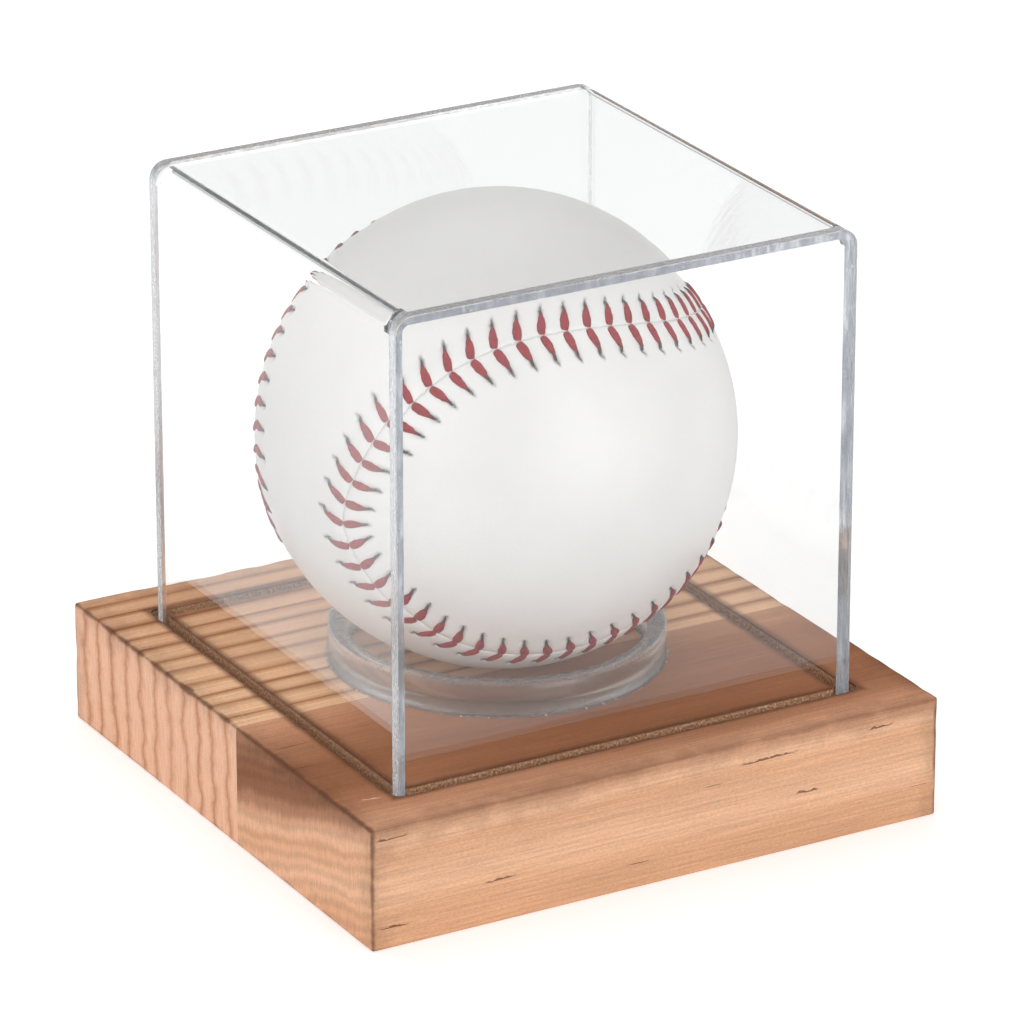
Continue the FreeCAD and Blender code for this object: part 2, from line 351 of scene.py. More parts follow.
def scar(s, along, across, start, end):
    """How strongly a short ragged mark between two points shows."""
    (u0, v0), (u1, v1) = start, end
    slope = (v1 - v0) / (u1 - u0)
    ragged = s.noise(s.join(s.math("MULTIPLY", along, 0.9), v0, u0), 1.0, 2.0)
    line = s.math("ADD", v0 - slope * u0, s.math("MULTIPLY", along, slope))
    line = s.math("ADD", line, s.math("MULTIPLY", s.math("SUBTRACT", ragged, 0.5), 0.8))
    away = s.math("ABSOLUTE", s.math("SUBTRACT", across, line))
    middle, half = (u0 + u1) / 2, abs(u1 - u0) / 2
    past = s.math("ABSOLUTE", s.math("SUBTRACT", along, middle))
    reach = s.ease(past, 0.6 * half, half, 1.0, 0.0)
    width = s.ease(ragged, 0.40, 0.60, 0.08, 0.20)
    return s.math("MULTIPLY", reach, s.math("LESS_THAN", away, width))


PORE = srgb(104, 60, 38)
CRACK = srgb(84, 46, 28)
SCRATCH = srgb(236, 196, 164)
CHAR = srgb(92, 54, 34)
LIP = srgb(104, 64, 42)
ROUGH_WALL = [(0.34, srgb(150, 98, 66)), (0.50, srgb(208, 152, 114)), (0.66, srgb(252, 228, 198))]
PLANED_TINT = (0.96, 0.92, 0.86)
END_TINT = (0.95, 0.89, 0.83)


def long_grain(s, spot, growth, fibre, grit):
    """Colour of wood seen along its fibres, before its pores."""
    cloud = s.noise(s.stretch(spot, (0.012, 0.10, 0.10)), 1.0, 2.0)
    hair = s.noise(s.stretch(spot, (0.16, 7.0, 7.0)), 1.0, 2.0, 0.7)
    colour = times(s, growth(s, spot), s.ease(fibre, 0.3, 0.7, 0.87, 1.09))
    colour = times(s, colour, s.ease(cloud, 0.3, 0.7, 0.94, 1.05))
    colour = times(s, colour, s.ease(grit, 0.35, 0.65, 0.92, 1.06))
    return times(s, colour, s.ease(hair, 0.32, 0.68, 0.93, 1.05))


def end_grain(s, spot, growth, rays, grit):
    """Colour of wood seen on its sawn ends."""
    colour = times(s, growth(s, spot), s.ease(rays, 0.3, 0.7, 0.90, 1.09))
    colour = times(s, colour, s.ease(grit, 0.35, 0.65, 0.93, 1.05))
    return s.mix(1.0, colour, END_TINT, "MULTIPLY")


def marked(s, spot, normal, colour, marks):
    """The colour with its single cracks in the front and scratches in the top."""
    x, y, z = s.split(spot)
    _, ny, nz = s.split(normal)
    on_front = s.ease(ny, -0.9, -0.6, 1.0, 0.0)
    for start, end in marks["cracks"]:
        crack = s.math("MULTIPLY", scar(s, x, z, start, end), on_front)
        colour = s.mix(s.math("MULTIPLY", crack, 0.75), colour, CRACK)
    for start, end in marks["scratches"]:
        scratch = s.math("MULTIPLY", scar(s, x, y, start, end), s.ease(nz, 0.6, 0.9))
        colour = s.mix(s.math("MULTIPLY", scratch, 0.8), colour, SCRATCH)
    return colour


def grooved(s, spot, colour, wander, crumbs):
    """The colour with scorched lips and rough brown walls, and how far in the groove it is."""
    x, y, z = s.split(spot)
    reach = s.math("MAXIMUM", s.math("ABSOLUTE", x), s.math("ABSOLUTE", y))
    from_middle = s.math("ABSOLUTE", s.math("SUBTRACT", reach, GROOVE_MIDDLE))
    frayed = s.math("ADD", from_middle, s.math("MULTIPLY", wander, 0.8))
    lips = s.ease(frayed, 1.95, 3.5, 0.80, 0.0)
    colour = s.mix(s.math("MULTIPLY", lips, s.ease(z, 15.0, 15.2)), colour, LIP)
    inside = s.math("MULTIPLY", s.ease(z, 19.3, 19.8, 1.0, 0.0),
                    s.ease(from_middle, 1.9, 2.1, 1.0, 0.0))
    inside = s.math("MULTIPLY", inside, s.ease(z, 15.4, 15.8))
    return s.mix(inside, colour, s.ramp(crumbs, ROUGH_WALL)), inside


def wood(name, growth, end_growth, pore_depth, top_painted_light, marks):
    """Softwood with its fibres along X, scorched arrises and a rough milled groove.

    growth and end_growth colour the growth rings on long and end grain from the shader
    and the position; pore_depth is how dark the resin pores are; top_painted_light is
    painted light that lifts the top faces above the sides; marks are single cracks in the
    front and scratches in the top.
    """
    s = Shader(name)
    spot, normal = s.place()
    nx, _, nz = s.split(normal)
    end_face = s.ease(s.math("ABSOLUTE", nx), 0.6, 0.9)
    wander = s.noise(s.stretch(spot, (0.25, 0.25, 0.25)), 1.0, 3.0)
    fibre = s.noise(s.stretch(spot, (0.05, 2.2, 2.2)), 1.0, 4.0, 0.65)
    grit = s.noise(s.stretch(spot, (1.6, 3.4, 3.4)), 1.0, 2.0, 0.7)
    pores = s.noise(s.stretch(spot, (0.075, 2.3, 2.3)), 1.0, 1.0)
    dash = s.ease(pores, 0.735, 0.775)
    rays = s.noise(s.stretch(spot, (1.0, 2.8, 0.25)), 1.0, 3.0, 0.7)
    crumbs = s.noise(s.stretch(spot, (2.4, 2.4, 2.4)), 1.0, 3.0, 0.8)

    along = long_grain(s, spot, growth, fibre, grit)
    along = s.mix(s.math("MULTIPLY", dash, pore_depth), along, PORE)
    # painted light: the top faces are made lighter than the sides by this multiplier
    top_with_painted_light = s.mix(1.0, along, top_painted_light, "MULTIPLY")
    planed = s.mix(1.0, along, PLANED_TINT, "MULTIPLY")
    along = s.mix(s.ease(nz, 0.6, 0.9), planed, top_with_painted_light)
    colour = s.mix(end_face, along, end_grain(s, spot, end_growth, rays, grit))
    colour = marked(s, spot, normal, colour, marks)
    colour = times(s, colour, toast(s, spot, wander))
    colour = s.mix(edge_burn(s, spot, wander), colour, CHAR)
    colour, in_groove = grooved(s, spot, colour, wander, crumbs)

    height = s.math("ADD", s.math("MULTIPLY", fibre, 0.6), s.math("MULTIPLY", grit, 0.4))
    height = s.math("SUBTRACT", height, s.math("MULTIPLY", dash, 0.7))
    height = s.math("ADD", height, s.math("MULTIPLY", s.math("MULTIPLY", rays, end_face), 0.8))
    height = s.math("ADD", height, s.math("MULTIPLY", s.math("MULTIPLY", crumbs, in_groove), 3.0))
    s.surface(**{"Base Color": colour,
                 "Roughness": s.ease(fibre, 0.3, 0.7, 0.62, 0.78),
                 "Normal": s.bump(height, 0.00010)})
    s.main.inputs["Specular IOR Level"].default_value = 0.2
    return s.material


RING_PITCH = 4.95


def rear_wood():
    """Quarter-sawn: straight rings that stand nearly upright, seen as even stripes."""
    def stripes(s, spot, light, dark, tail):
        _, y, z = s.split(spot)
        drop = s.math("SUBTRACT", BASE_TOP, z)
        bend = s.noise(s.stretch(spot, (0.006, 0.14, 0.16)), 1.0, 4.0, 0.6)
        ring = s.math("ADD", y, s.math("MULTIPLY", drop, 0.06))
        ring = s.math("ADD", ring, s.math("MULTIPLY", s.math("SUBTRACT", bend, 0.5), 5.0))
        ring = s.math("DIVIDE", s.math("SUBTRACT", ring, 2.2), RING_PITCH)
        turn = s.math("FRACT", ring)
        band = s.ramp(turn, [(0.0, dark), (0.10, tail), (0.28, light), (0.66, light),
                             (0.86, tail), (1.0, dark)])
        faint = s.noise(s.join(s.math("FLOOR", ring), 0.3, 0.7), 1.7, 1.0)
        return s.mix(s.ease(faint, 0.3, 0.7, 0.0, 0.35), band, light)

    def on_top(s, spot):
        colour = stripes(s, spot, srgb(244, 202, 164), srgb(150, 94, 60), srgb(212, 160, 118))
        _, y, _ = s.split(spot)
        return s.mix(s.ease(y, -10.0, 50.0, 0.0, 1.0), colour,
                     s.mix(1.0, colour, (0.80, 0.72, 0.68), "MULTIPLY"))

    def on_end(s, spot):
        return stripes(s, spot, srgb(234, 190, 164), srgb(184, 130, 98), srgb(216, 166, 136))

    # (1.08, 1.02, 0.98) is painted light on the rear board's top faces
    return wood("rear_board_wood", on_top, on_end, 0.35, (1.08, 1.02, 0.98),
                {"cracks": [], "scratches": []})


PALE = srgb(226, 182, 152)
TAN = srgb(216, 168, 135)
WARM = srgb(200, 150, 120)
BROWN = srgb(168, 118, 88)
DARK = srgb(148, 98, 68)
# the front board's growth rings: the height of each tone at y = -FRONT_RING_Y
FRONT_RING_Y = 28.0
FRONT_RING_LEAN = 0.29
FRONT_RINGS = [(-8.0, TAN), (-1.0, TAN), (3.0, PALE), (9.0, TAN), (11.0, PALE), (13.5, WARM),
               (15.5, BROWN), (17.5, DARK), (21.0, DARK), (24.0, BROWN), (27.0, WARM)]

# start and end of each mark: (x, z) on the front face, (x, y) on the top
FRONT_MARKS = {
    "cracks": [((13.5, 16.3), (25.0, 16.6)), ((-49.5, 18.0), (-43.5, 18.2)),
               ((-31.0, 7.0), (-25.0, 7.2)), ((-49.0, 3.6), (-43.5, 3.4)),
               ((24.0, 9.4), (28.5, 9.2)), ((37.0, 17.2), (42.0, 17.4))],
    "scratches": [((-46.2, -39.5), (-42.7, -40.1))],
}


def front_wood():
    """Flat-sawn: rings that lean back, so the top shows one dark ring and the front few."""
    low, high = FRONT_RINGS[0][0], FRONT_RINGS[-1][0]

    def rings(s, spot, ripple):
        _, y, z = s.split(spot)
        lean = s.math("MULTIPLY", s.math("ADD", y, FRONT_RING_Y), FRONT_RING_LEAN)
        ring = s.math("ADD", z, lean)
        bend = s.noise(s.stretch(spot, (0.012, 0.06, 0.10)), 1.0, 2.0)
        ring = s.math("ADD", ring, s.math("MULTIPLY", s.math("SUBTRACT", bend, 0.5), 5.0))
        fuzz = s.noise(s.stretch(spot, (0.04, 0.9, 0.16)), 1.0, 4.0, 0.75)
        ring = s.math("ADD", ring, s.math("MULTIPLY", s.math("SUBTRACT", fuzz, 0.5), ripple))
        share = s.math("DIVIDE", s.math("SUBTRACT", ring, low), high - low)
        stops = [((place - low) / (high - low), colour) for place, colour in FRONT_RINGS]
        return s.ramp(share, stops), ring

    def on_long(s, spot):
        return rings(s, spot, 1.5)[0]

    def on_end(s, spot):
        colour, ring = rings(s, spot, 2.2)
        fine = s.math("SINE", s.math("MULTIPLY", ring, 2.6))
        colour = times(s, colour, s.ease(fine, -1.0, 1.0, 0.88, 1.03))
        return times(s, colour, s.ease(ring, 9.0, 16.0, 1.06, 0.84))

    # (1.28, 1.22, 1.16) is painted light on the front board's top faces
    return wood("front_board_wood", on_long, on_end, 0.70, (1.28, 1.22, 1.16), FRONT_MARKS)


def clear_plastic(name, tint, roughness):
    """Clear acrylic that lets lamps through to what stands behind it."""
    s = Shader(name)
    s.surface(**{"Base Color": (*tint, 1), "Roughness": roughness, "Transmission Weight": 1.0})
    s.main.inputs["IOR"].default_value = ACRYLIC_IOR
    rays = s.node("ShaderNodeLightPath")
    passing = s.node("ShaderNodeBsdfTransparent")
    passing.inputs[0].default_value = (*tint, 1)
    choose = s.node("ShaderNodeMixShader")
    s.put(choose.inputs[0], rays.outputs["Is Shadow Ray"])
    s.put(choose.inputs[1], s.main.outputs[0])
    s.put(choose.inputs[2], passing.outputs[0])
    s.put(s.output.inputs["Surface"], choose.outputs[0])
    return s.material


def cemented_edge_painted_reflection():
    """Where the sheet's sawn ends meet the panels: streaky, bubbly cement, whose dark bluish grey
    streaks are a painted reflection of darker surroundings.
    """
    s = Shader("cemented_acrylic_edge_painted_reflection")
    spot, _ = s.place()
    streaks = s.noise(s.stretch(spot, (0.9, 0.9, 0.12)), 1.0, 3.0, 0.7)
    bubbles = s.ease(s.cells(spot, 0.9), 0.10, 0.22, 1.0, 0.0)
    # painted reflection: the dark bluish grey stands in for darker surroundings seen through the
    # sawn ends
    tint = s.ramp(streaks, [(0.32, (0.20, 0.22, 0.27)), (0.52, (0.40, 0.42, 0.47)),
                            (0.66, (0.86, 0.88, 0.90))])
    s.surface(**{"Base Color": s.mix(bubbles, tint, (0.97, 0.97, 0.98)),
                 "Roughness": s.ease(streaks, 0.3, 0.7, 0.22, 0.08),
                 "Transmission Weight": 0.85, "Normal": s.bump(streaks, 0.00006)})
    s.main.inputs["IOR"].default_value = ACRYLIC_IOR
    return s.material


def satin_rim(name, clearness):
    """Scraped edge of clear acrylic: pale, softly streaked along its length."""
    s = Shader(name)
    spot, _ = s.place()
    streaks = s.noise(s.stretch(spot, (0.5, 3.0, 0.5)), 1.0, 3.0, 0.7)
    tint = s.ramp(streaks, [(0.34, (0.62, 0.64, 0.68)), (0.60, (0.95, 0.96, 0.97))])
    s.surface(**{"Base Color": tint, "Roughness": s.ease(streaks, 0.3, 0.7, 0.30, 0.16),
                 "Transmission Weight": clearness, "Normal": s.bump(streaks, 0.00005)})
    s.main.inputs["IOR"].default_value = ACRYLIC_IOR
    return s.material


def ring_acrylic():
    """Extruded ring: a warm grey tint, faint turning marks and a little haze."""
    s = Shader("ring_acrylic")
    spot, _ = s.place()
    _, _, z = s.split(spot)
    marks = s.noise(s.join(0.0, 0.0, s.math("MULTIPLY", z, 5.0)), 1.0, 3.0)
    specks = s.cells(spot, 0.8)
    speck = s.ease(specks, 0.05, 0.11, 1.0, 0.0)
    tint = s.mix(speck, (0.84, 0.78, 0.73), (0.98, 0.97, 0.96))
    height = s.math("ADD", s.math("MULTIPLY", marks, 0.4), speck)
    s.surface(**{"Base Color": tint, "Roughness": s.ease(marks, 0.3, 0.7, 0.14, 0.26),
                 "Transmission Weight": 1.0, "Normal": s.bump(height, 0.00003)})
    s.main.inputs["IOR"].default_value = ACRYLIC_IOR
    return s.material


def dried_glue():
    """A thin skin of clear cement full of small bubbles."""
    s = Shader("dried_clear_glue")
    spot, _ = s.place()
    bubbles = s.ease(s.cells(spot, 1.1), 0.12, 0.30, 1.0, 0.0)
    small = s.ease(s.cells(spot, 2.9), 0.10, 0.30, 1.0, 0.0)
    froth = s.math("MAXIMUM", bubbles, s.math("MULTIPLY", small, 0.7))
    s.surface(**{"Base Color": s.mix(froth, (0.72, 0.67, 0.63), (0.97, 0.96, 0.95)),
                 "Roughness": s.ease(froth, 0.0, 1.0, 0.18, 0.45),
                 "Transmission Weight": s.ease(froth, 0.0, 1.0, 0.90, 0.35),
                 "Normal": s.bump(froth, 0.00012)})
    s.main.inputs["IOR"].default_value = CEMENT_IOR
    return s.material


def leather():
    """White hide: fine pores, a soft gloss, and painted shade in the creases where the thread
    goes in.
    """
    s = Shader("white_leather")
    spot, _ = s.place()
    crease_painted_shade = s.node("ShaderNodeAttribute", attribute_name="crease_painted_shade").outputs["Fac"]
    pores = s.cells(spot, 2.6)
    cloud = s.noise(spot, 0.05, 3.0)
    tone = s.ramp(cloud, [(0.3, srgb(228, 226, 224)), (0.7, srgb(236, 234, 232))])
    # painted shade: the creases past each stitch hole are darkened almost to black here
    colour = s.mix(crease_painted_shade, tone, srgb(52, 44, 40))
    fine = s.noise(spot, 1.4, 4.0, 0.6)
    height = s.math("ADD", s.math("MULTIPLY", pores, 0.5), s.math("MULTIPLY", fine, 0.5))
    s.surface(**{"Base Color": colour, "Roughness": s.ease(fine, 0.3, 0.7, 0.42, 0.52),
                 "Normal": s.bump(height, 0.00003)})
    s.main.inputs["Coat Weight"].default_value = 0.15
    s.main.inputs["Coat Roughness"].default_value = 0.25
    s.main.inputs["Subsurface Weight"].default_value = 0.05
    s.main.inputs["Subsurface Scale"].default_value = 0.001
    return s.material


def thread():
    """Waxed red thread, darkened by painted shade towards its tips, where it dives into the
    leather.
    """
    s = Shader("red_waxed_thread")
    spot, _ = s.place()
    tip = s.node("ShaderNodeAttribute", attribute_name="tip").outputs["Fac"]
    lay = s.node("ShaderNodeAttribute", attribute_name="lay").outputs["Fac"]
    strand = s.math("SINE", s.math("MULTIPLY", lay, FULL_TURN))
    mottle = s.noise(spot, 1.6, 3.0, 0.6)
    red = s.ramp(mottle, [(0.3, srgb(120, 0, 12)), (0.7, srgb(168, 6, 24))])
    # painted shade: the last part of each thread turns nearly black where it enters its hole
    colour = s.mix(s.ease(tip, 0.60, 0.95, 0.0, 0.90), red, srgb(34, 26, 24))
    height = s.math("ADD", s.math("MULTIPLY", strand, 0.5), mottle)
    s.surface(**{"Base Color": colour, "Roughness": 0.62, "Normal": s.bump(height, 0.00006)})
    return s.material


def moulded_rubber(name, dark, light, grain_scale):
    """Rubber or cork-filled rubber from inside the ball, with the grain of its filler."""
    s = Shader(name)
    spot, _ = s.place()
    grain = s.noise(spot, grain_scale, 4.0, 0.6)
    s.surface(**{"Base Color": s.ramp(grain, [(0.35, dark), (0.65, light)]),
                 "Roughness": s.ease(grain, 0.35, 0.65, 0.55, 0.80),
                 "Normal": s.bump(grain, 0.00008)})
    return s.material


def wound_yarn(name, dark, light, strands_per_mm):
    """Yarn wound over a ball: strands that cross in three directions."""
    s = Shader(name)
    spot, _ = s.place()
    x, y, z = s.split(spot)
    drift = s.math("MULTIPLY", s.noise(spot, 0.12, 2.0), 8.0)
    strands = None
    for first, second in ((x, y), (y, z), (z, x)):
        across = s.math("ADD", s.math("ADD", first, second), drift)
        wave = s.math("SINE", s.math("MULTIPLY", across, FULL_TURN * strands_per_mm))
        strands = wave if strands is None else s.math("MAXIMUM", strands, wave)
    s.surface(**{"Base Color": s.ramp(strands, [(0.2, dark), (0.9, light)]),
                 "Roughness": 0.90, "Normal": s.bump(strands, 0.00015)})
    return s.material


# ---------------------------------------------------------------- pieces: the ball

BALL_YAW = math.radians(-88.0)
BALL_ROLL = math.radians(96.0)
SEAM_SHAPE = 0.358
STITCH_PAIRS = 108
STITCH_SLANT = math.radians(74.0)
STITCH_REACH = 4.3
STITCH_FOOT = 0.45
TAIL = 1.3
SEAM_SAMPLES = 4320
REFINE_REACHES = (9.0, 6.8)
ON_SEAM = 0.16

# height or depth, then width, of what the seam does to the leather
RIDGE_OFF, RIDGE = 1.6, (0.30, 2.0)
SEAM_DIP = (0.10, 0.30)
PINCH = (0.20, 0.75)
HOLE = (0.45, 0.40)
FURROW = (0.15, 0.19)

THREAD_SEED = 7
THREAD_RINGS = 16
THREAD_SIDES = 10
THREAD_THICK = 0.30
THREAD_RISE = 0.20
THREAD_PROFILE = [(0.0, 0.46), (0.10, 0.64), (0.34, 0.72), (0.58, 0.54), (0.80, 0.26),
                  (1.0, 0.12)]


def seam_direction(turn):
    """Unit vector from the ball's centre to its seam; turn runs once from 0 to 4 pi."""
    polar = math.pi / 2 - (math.pi / 2 - SEAM_SHAPE) * math.cos(turn)
    around = turn / 2 + SEAM_SHAPE * math.sin(2 * turn)
    return Vector((math.sin(polar) * math.cos(around), math.sin(polar) * math.sin(around),
                   math.cos(polar)))


def even_feet(count):
    """Directions spaced evenly along the seam, and its length on a ball of radius 1."""
    fine = 4 * count
    points = [seam_direction(4 * math.pi * k / fine) for k in range(fine)]
    reached = [0.0]
    for k in range(fine):
        reached.append(reached[-1] + (points[(k + 1) % fine] - points[k]).length)
    feet = []
    k = 0
    for step in range(count):
        wanted = reached[-1] * step / count
        while reached[k + 1] <= wanted:
            k += 1
        share = (wanted - reached[k]) / (reached[k + 1] - reached[k])
        feet.append(seam_direction(4 * math.pi * (k + share) / fine))
    return feet, reached[-1]


class Seam:
    """Even samples of the seam: direction, tangent and the side to its left."""

    def __init__(self, radius):
        count = SEAM_SAMPLES
        self.radius = radius
        self.foot, length = even_feet(count)
        self.length = length * radius
        self.along, self.side = [], []
        for k in range(count):
            step = self.foot[(k + 1) % count] - self.foot[k - 1]
            along = (step - self.foot[k] * step.dot(self.foot[k])).normalized()
            self.along.append(along)
            self.side.append(self.foot[k].cross(along))
        self.tree = KDTree(count)
        for k, foot in enumerate(self.foot):
            self.tree.insert(foot, k)
        self.tree.balance()

    def locate(self, direction):
        """(run along the seam, distance from it with its sign) in millimetres."""
        _, k, _ = self.tree.find(direction)
        offset = direction - self.foot[k]
        run = self.length * k / SEAM_SAMPLES + offset.dot(self.along[k]) * self.radius
        return run, offset.dot(self.side[k]) * self.radius


def smooth(value, low, high):
    """0 below low, 1 above high, and an even curve between."""
    value = min(1.0, max(0.0, (value - low) / (high - low)))
    return value * value * (3 - 2 * value)


def thread_run(out):
    """How far the thread has leant along the seam at a distance from it."""
    return out / math.tan(STITCH_SLANT)


def bell(value, width):
    return math.exp(-(value / width) ** 2)


def leather_height(run, off, pitch):
    """Height of the leather over its plain sphere, and how much painted shade its crease gets."""
    out = abs(off)
    height = RIDGE[0] * bell(out - RIDGE_OFF, RIDGE[1])
    height -= SEAM_DIP[0] * bell(off, SEAM_DIP[1])
    side_run = run - thread_run(out)
    beat = (side_run / pitch + 0.5) % 1.0 - 0.5
    gap = abs(beat) * pitch
    held = smooth(out, 0.2, 1.2) * (1 - smooth(out, STITCH_REACH - 0.6, STITCH_REACH + 0.8))
    height -= PINCH[0] * held * bell(gap, PINCH[1])
    hole = math.hypot(gap * math.sin(STITCH_SLANT), out - STITCH_REACH)
    height -= HOLE[0] * bell(hole, HOLE[1])
    tail = smooth(out, STITCH_REACH - 1.2, STITCH_REACH - 0.4)
    tail *= 1 - smooth(out, STITCH_REACH + 0.2, STITCH_REACH + TAIL)
    line = bell(gap, FURROW[1]) * tail
    height -= FURROW[0] * line
    # the furrow's depth is real; the darkness returned with it is painted shade
    return height, min(1.0, line * 1.35)


def link_piece(name, mesh, body, slot, material, *nodes):
    """Put a finished mesh into the scene on its body, in place of its CAD nodes."""
    mesh.materials.append(material)
    for face in mesh.polygons:
        face.use_smooth = True
    piece = bpy.data.objects.new(name, mesh)
    bpy.context.scene.collection.objects.link(piece)
    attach(piece, body)
    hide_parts(*nodes)
    return piece


def ball_place():
    """Turn and place of the ball, from the box of its finishing winding."""
    low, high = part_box("ball_finishing_winding")
    centre = (Vector(low) + Vector(high)) / 2
    turn = Matrix.Rotation(BALL_YAW, 4, "Z") @ Matrix.Rotation(BALL_ROLL, 4, "X")
    return Matrix.Translation(centre) @ turn


def refined_ball(seam):
    """A ball of radius 1, cut finer near the seam, with a row of corners right on it."""
    ball = bmesh.new()
    bmesh.ops.create_icosphere(ball, subdivisions=6, radius=1.0)
    for reach in REFINE_REACHES:
        close = [edge for edge in ball.edges
                 if min(abs(seam.locate(v.co.normalized())[1]) for v in edge.verts) < reach]
        bmesh.ops.subdivide_edges(ball, edges=close, cuts=1, use_grid_fill=True)
        bmesh.ops.triangulate(ball, faces=ball.faces[:])
        for vertex in ball.verts:
            vertex.co.normalize()
    run_layer = ball.verts.layers.float.new("run")
    off_layer = ball.verts.layers.float.new("off")
    for vertex in ball.verts:
        run, off = seam.locate(vertex.co)
        if abs(off) < ON_SEAM:
            _, k, _ = seam.tree.find(vertex.co)
            vertex.co -= seam.side[k] * (off / BALL_RADIUS)
            vertex.co.normalize()
            off = 0.0
        vertex[run_layer] = run
        vertex[off_layer] = off
    return ball


def leather_half(ball, label, sign, pitch, place, material):
    """The part of the ball on one side of the seam, raised, creased and given thickness."""
    half = ball.copy()
    layer = half.verts.layers.float.new("crease_painted_shade")
    run_layer = half.verts.layers.float["run"]
    off_layer = half.verts.layers.float["off"]
    other = [face for face in half.faces
             if sum(v[off_layer] for v in face.verts) * sign <= 0]
    bmesh.ops.delete(half, geom=other, context="FACES")
    for vertex in half.verts:
        height, dark = leather_height(vertex[run_layer], vertex[off_layer], pitch)
        # painted shade: each corner keeps its crease darkness for the leather material
        vertex[layer] = dark
        vertex.co = vertex.co * (BALL_RADIUS + height) * MM
    half.transform(place)
    mesh = bpy.data.meshes.new(label + "_hide")
    half.to_mesh(mesh)
    half.free()
    piece = link_piece(label + "_hide", mesh, "ball", "white_leather", material, label)
    thick = piece.modifiers.new("thickness", "SOLIDIFY")
    thick.thickness = LEATHER * MM
    thick.offset = -1


def leather_pieces(seam, place, material):
    """The two figure-eight covers, cut from one ball."""
    pitch = seam.length / STITCH_PAIRS
    ball = refined_ball(seam)
    leather_half(ball, "ball_leather_first_half", 1, pitch, place, material)
    leather_half(ball, "ball_leather_second_half", -1, pitch, place, material)
    ball.free()


def thread_half_width(share):
    """Half the thread's width at a share of the way from the seam to its hole."""
    for (a, wide_a), (b, wide_b) in zip(THREAD_PROFILE, THREAD_PROFILE[1:]):
        if share <= b:
            return wide_a + (wide_b - wide_a) * smooth(share, a, b)
    return THREAD_PROFILE[-1][1]


def thread_ring(seam, run, out, sign, share, plump):
    """Points round a thread where it lies at a run along the seam and out from it."""
    k = round(run / seam.length * SEAM_SAMPLES) % SEAM_SAMPLES
    side = seam.side[k] * sign
    angle = out / BALL_RADIUS
    up = seam.foot[k] * math.cos(angle) + side * math.sin(angle)
    leaning = (side * math.cos(angle) - seam.foot[k] * math.sin(angle))
    leaning = leaning * math.sin(STITCH_SLANT) + seam.along[k] * math.cos(STITCH_SLANT)
    flat = up.cross(leaning).normalized()
    wide = thread_half_width(share) * plump
    dive = 0.30 * smooth(share, 0.80, 1.0) + 0.12 * (1 - smooth(share, 0.0, 0.10))
    rise = BALL_RADIUS + THREAD_RISE - dive
    points = []
    for corner in range(THREAD_SIDES):
        turn = 2 * math.pi * corner / THREAD_SIDES
        lift = THREAD_THICK * min(1.0, wide / 0.4) * math.sin(turn)
        points.append((up * (rise + lift) + flat * (wide * math.cos(turn))) * MM)
    return points


def tube_faces(first):
    """Skin and both ends of the thread whose points begin at first."""
    faces = []
    for ring in range(THREAD_RINGS - 1):
        for corner in range(THREAD_SIDES):
            a = first + ring * THREAD_SIDES + corner
            b = first + ring * THREAD_SIDES + (corner + 1) % THREAD_SIDES
            faces.append((a, b, b + THREAD_SIDES, a + THREAD_SIDES))
    faces.append(tuple(first + corner for corner in reversed(range(THREAD_SIDES))))
    last = first + (THREAD_RINGS - 1) * THREAD_SIDES
    faces.append(tuple(last + corner for corner in range(THREAD_SIDES)))
    return faces


def stitch_piece(seam, place, material):
    """All the stitches: flattened, tapering threads that dive into their holes."""
    pitch = seam.length / STITCH_PAIRS
    draw = random.Random(THREAD_SEED)
    points, faces, tips, lays = [], [], [], []
    for stitch in range(STITCH_PAIRS):
        for sign in (1, -1):
            jog = draw.uniform(-0.12, 0.12)
            plump = draw.uniform(0.92, 1.10)
            faces += tube_faces(len(points))
            for ring in range(THREAD_RINGS):
                share = ring / (THREAD_RINGS - 1)
                out = STITCH_FOOT * (1 - share) * 0.4 + STITCH_REACH * share
                run = stitch * pitch + thread_run(out) + jog * math.sin(math.pi * share)
                points += thread_ring(seam, run, out, sign, share, plump)
                tips += [share] * THREAD_SIDES
                lays += [share * 3.0 + corner / THREAD_SIDES for corner in range(THREAD_SIDES)]
    mesh = bpy.data.meshes.new("ball_red_stitches")
    mesh.from_pydata([place @ point for point in points], [], faces)
    for name, values in (("tip", tips), ("lay", lays)):
        layer = mesh.attributes.new(name, "FLOAT", "POINT")
        layer.data.foreach_set("value", values)
    link_piece("ball_red_stitches", mesh, "ball", "red_thread", material,
               "ball_red_stitching")


# ---------------------------------------------------------------- pieces: the base

def cad_copy(label):
    """A CAD node's mesh in the scene's frame, with its doubled corners welded."""
    source = bpy.data.objects[label]
    shape = bmesh.new()
    shape.from_mesh(source.data)
    shape.transform(source.matrix_world)
    bmesh.ops.remove_doubles(shape, verts=shape.verts, dist=WELD * MM)
    return shape


def cut(shape, point, facing):
    """Edges where a plane crosses the shape; nothing is removed."""
    bmesh.ops.bisect_plane(shape, geom=shape.verts[:] + shape.edges[:] + shape.faces[:],
                           dist=CUT_TOLERANCE * MM, plane_co=point, plane_no=facing)


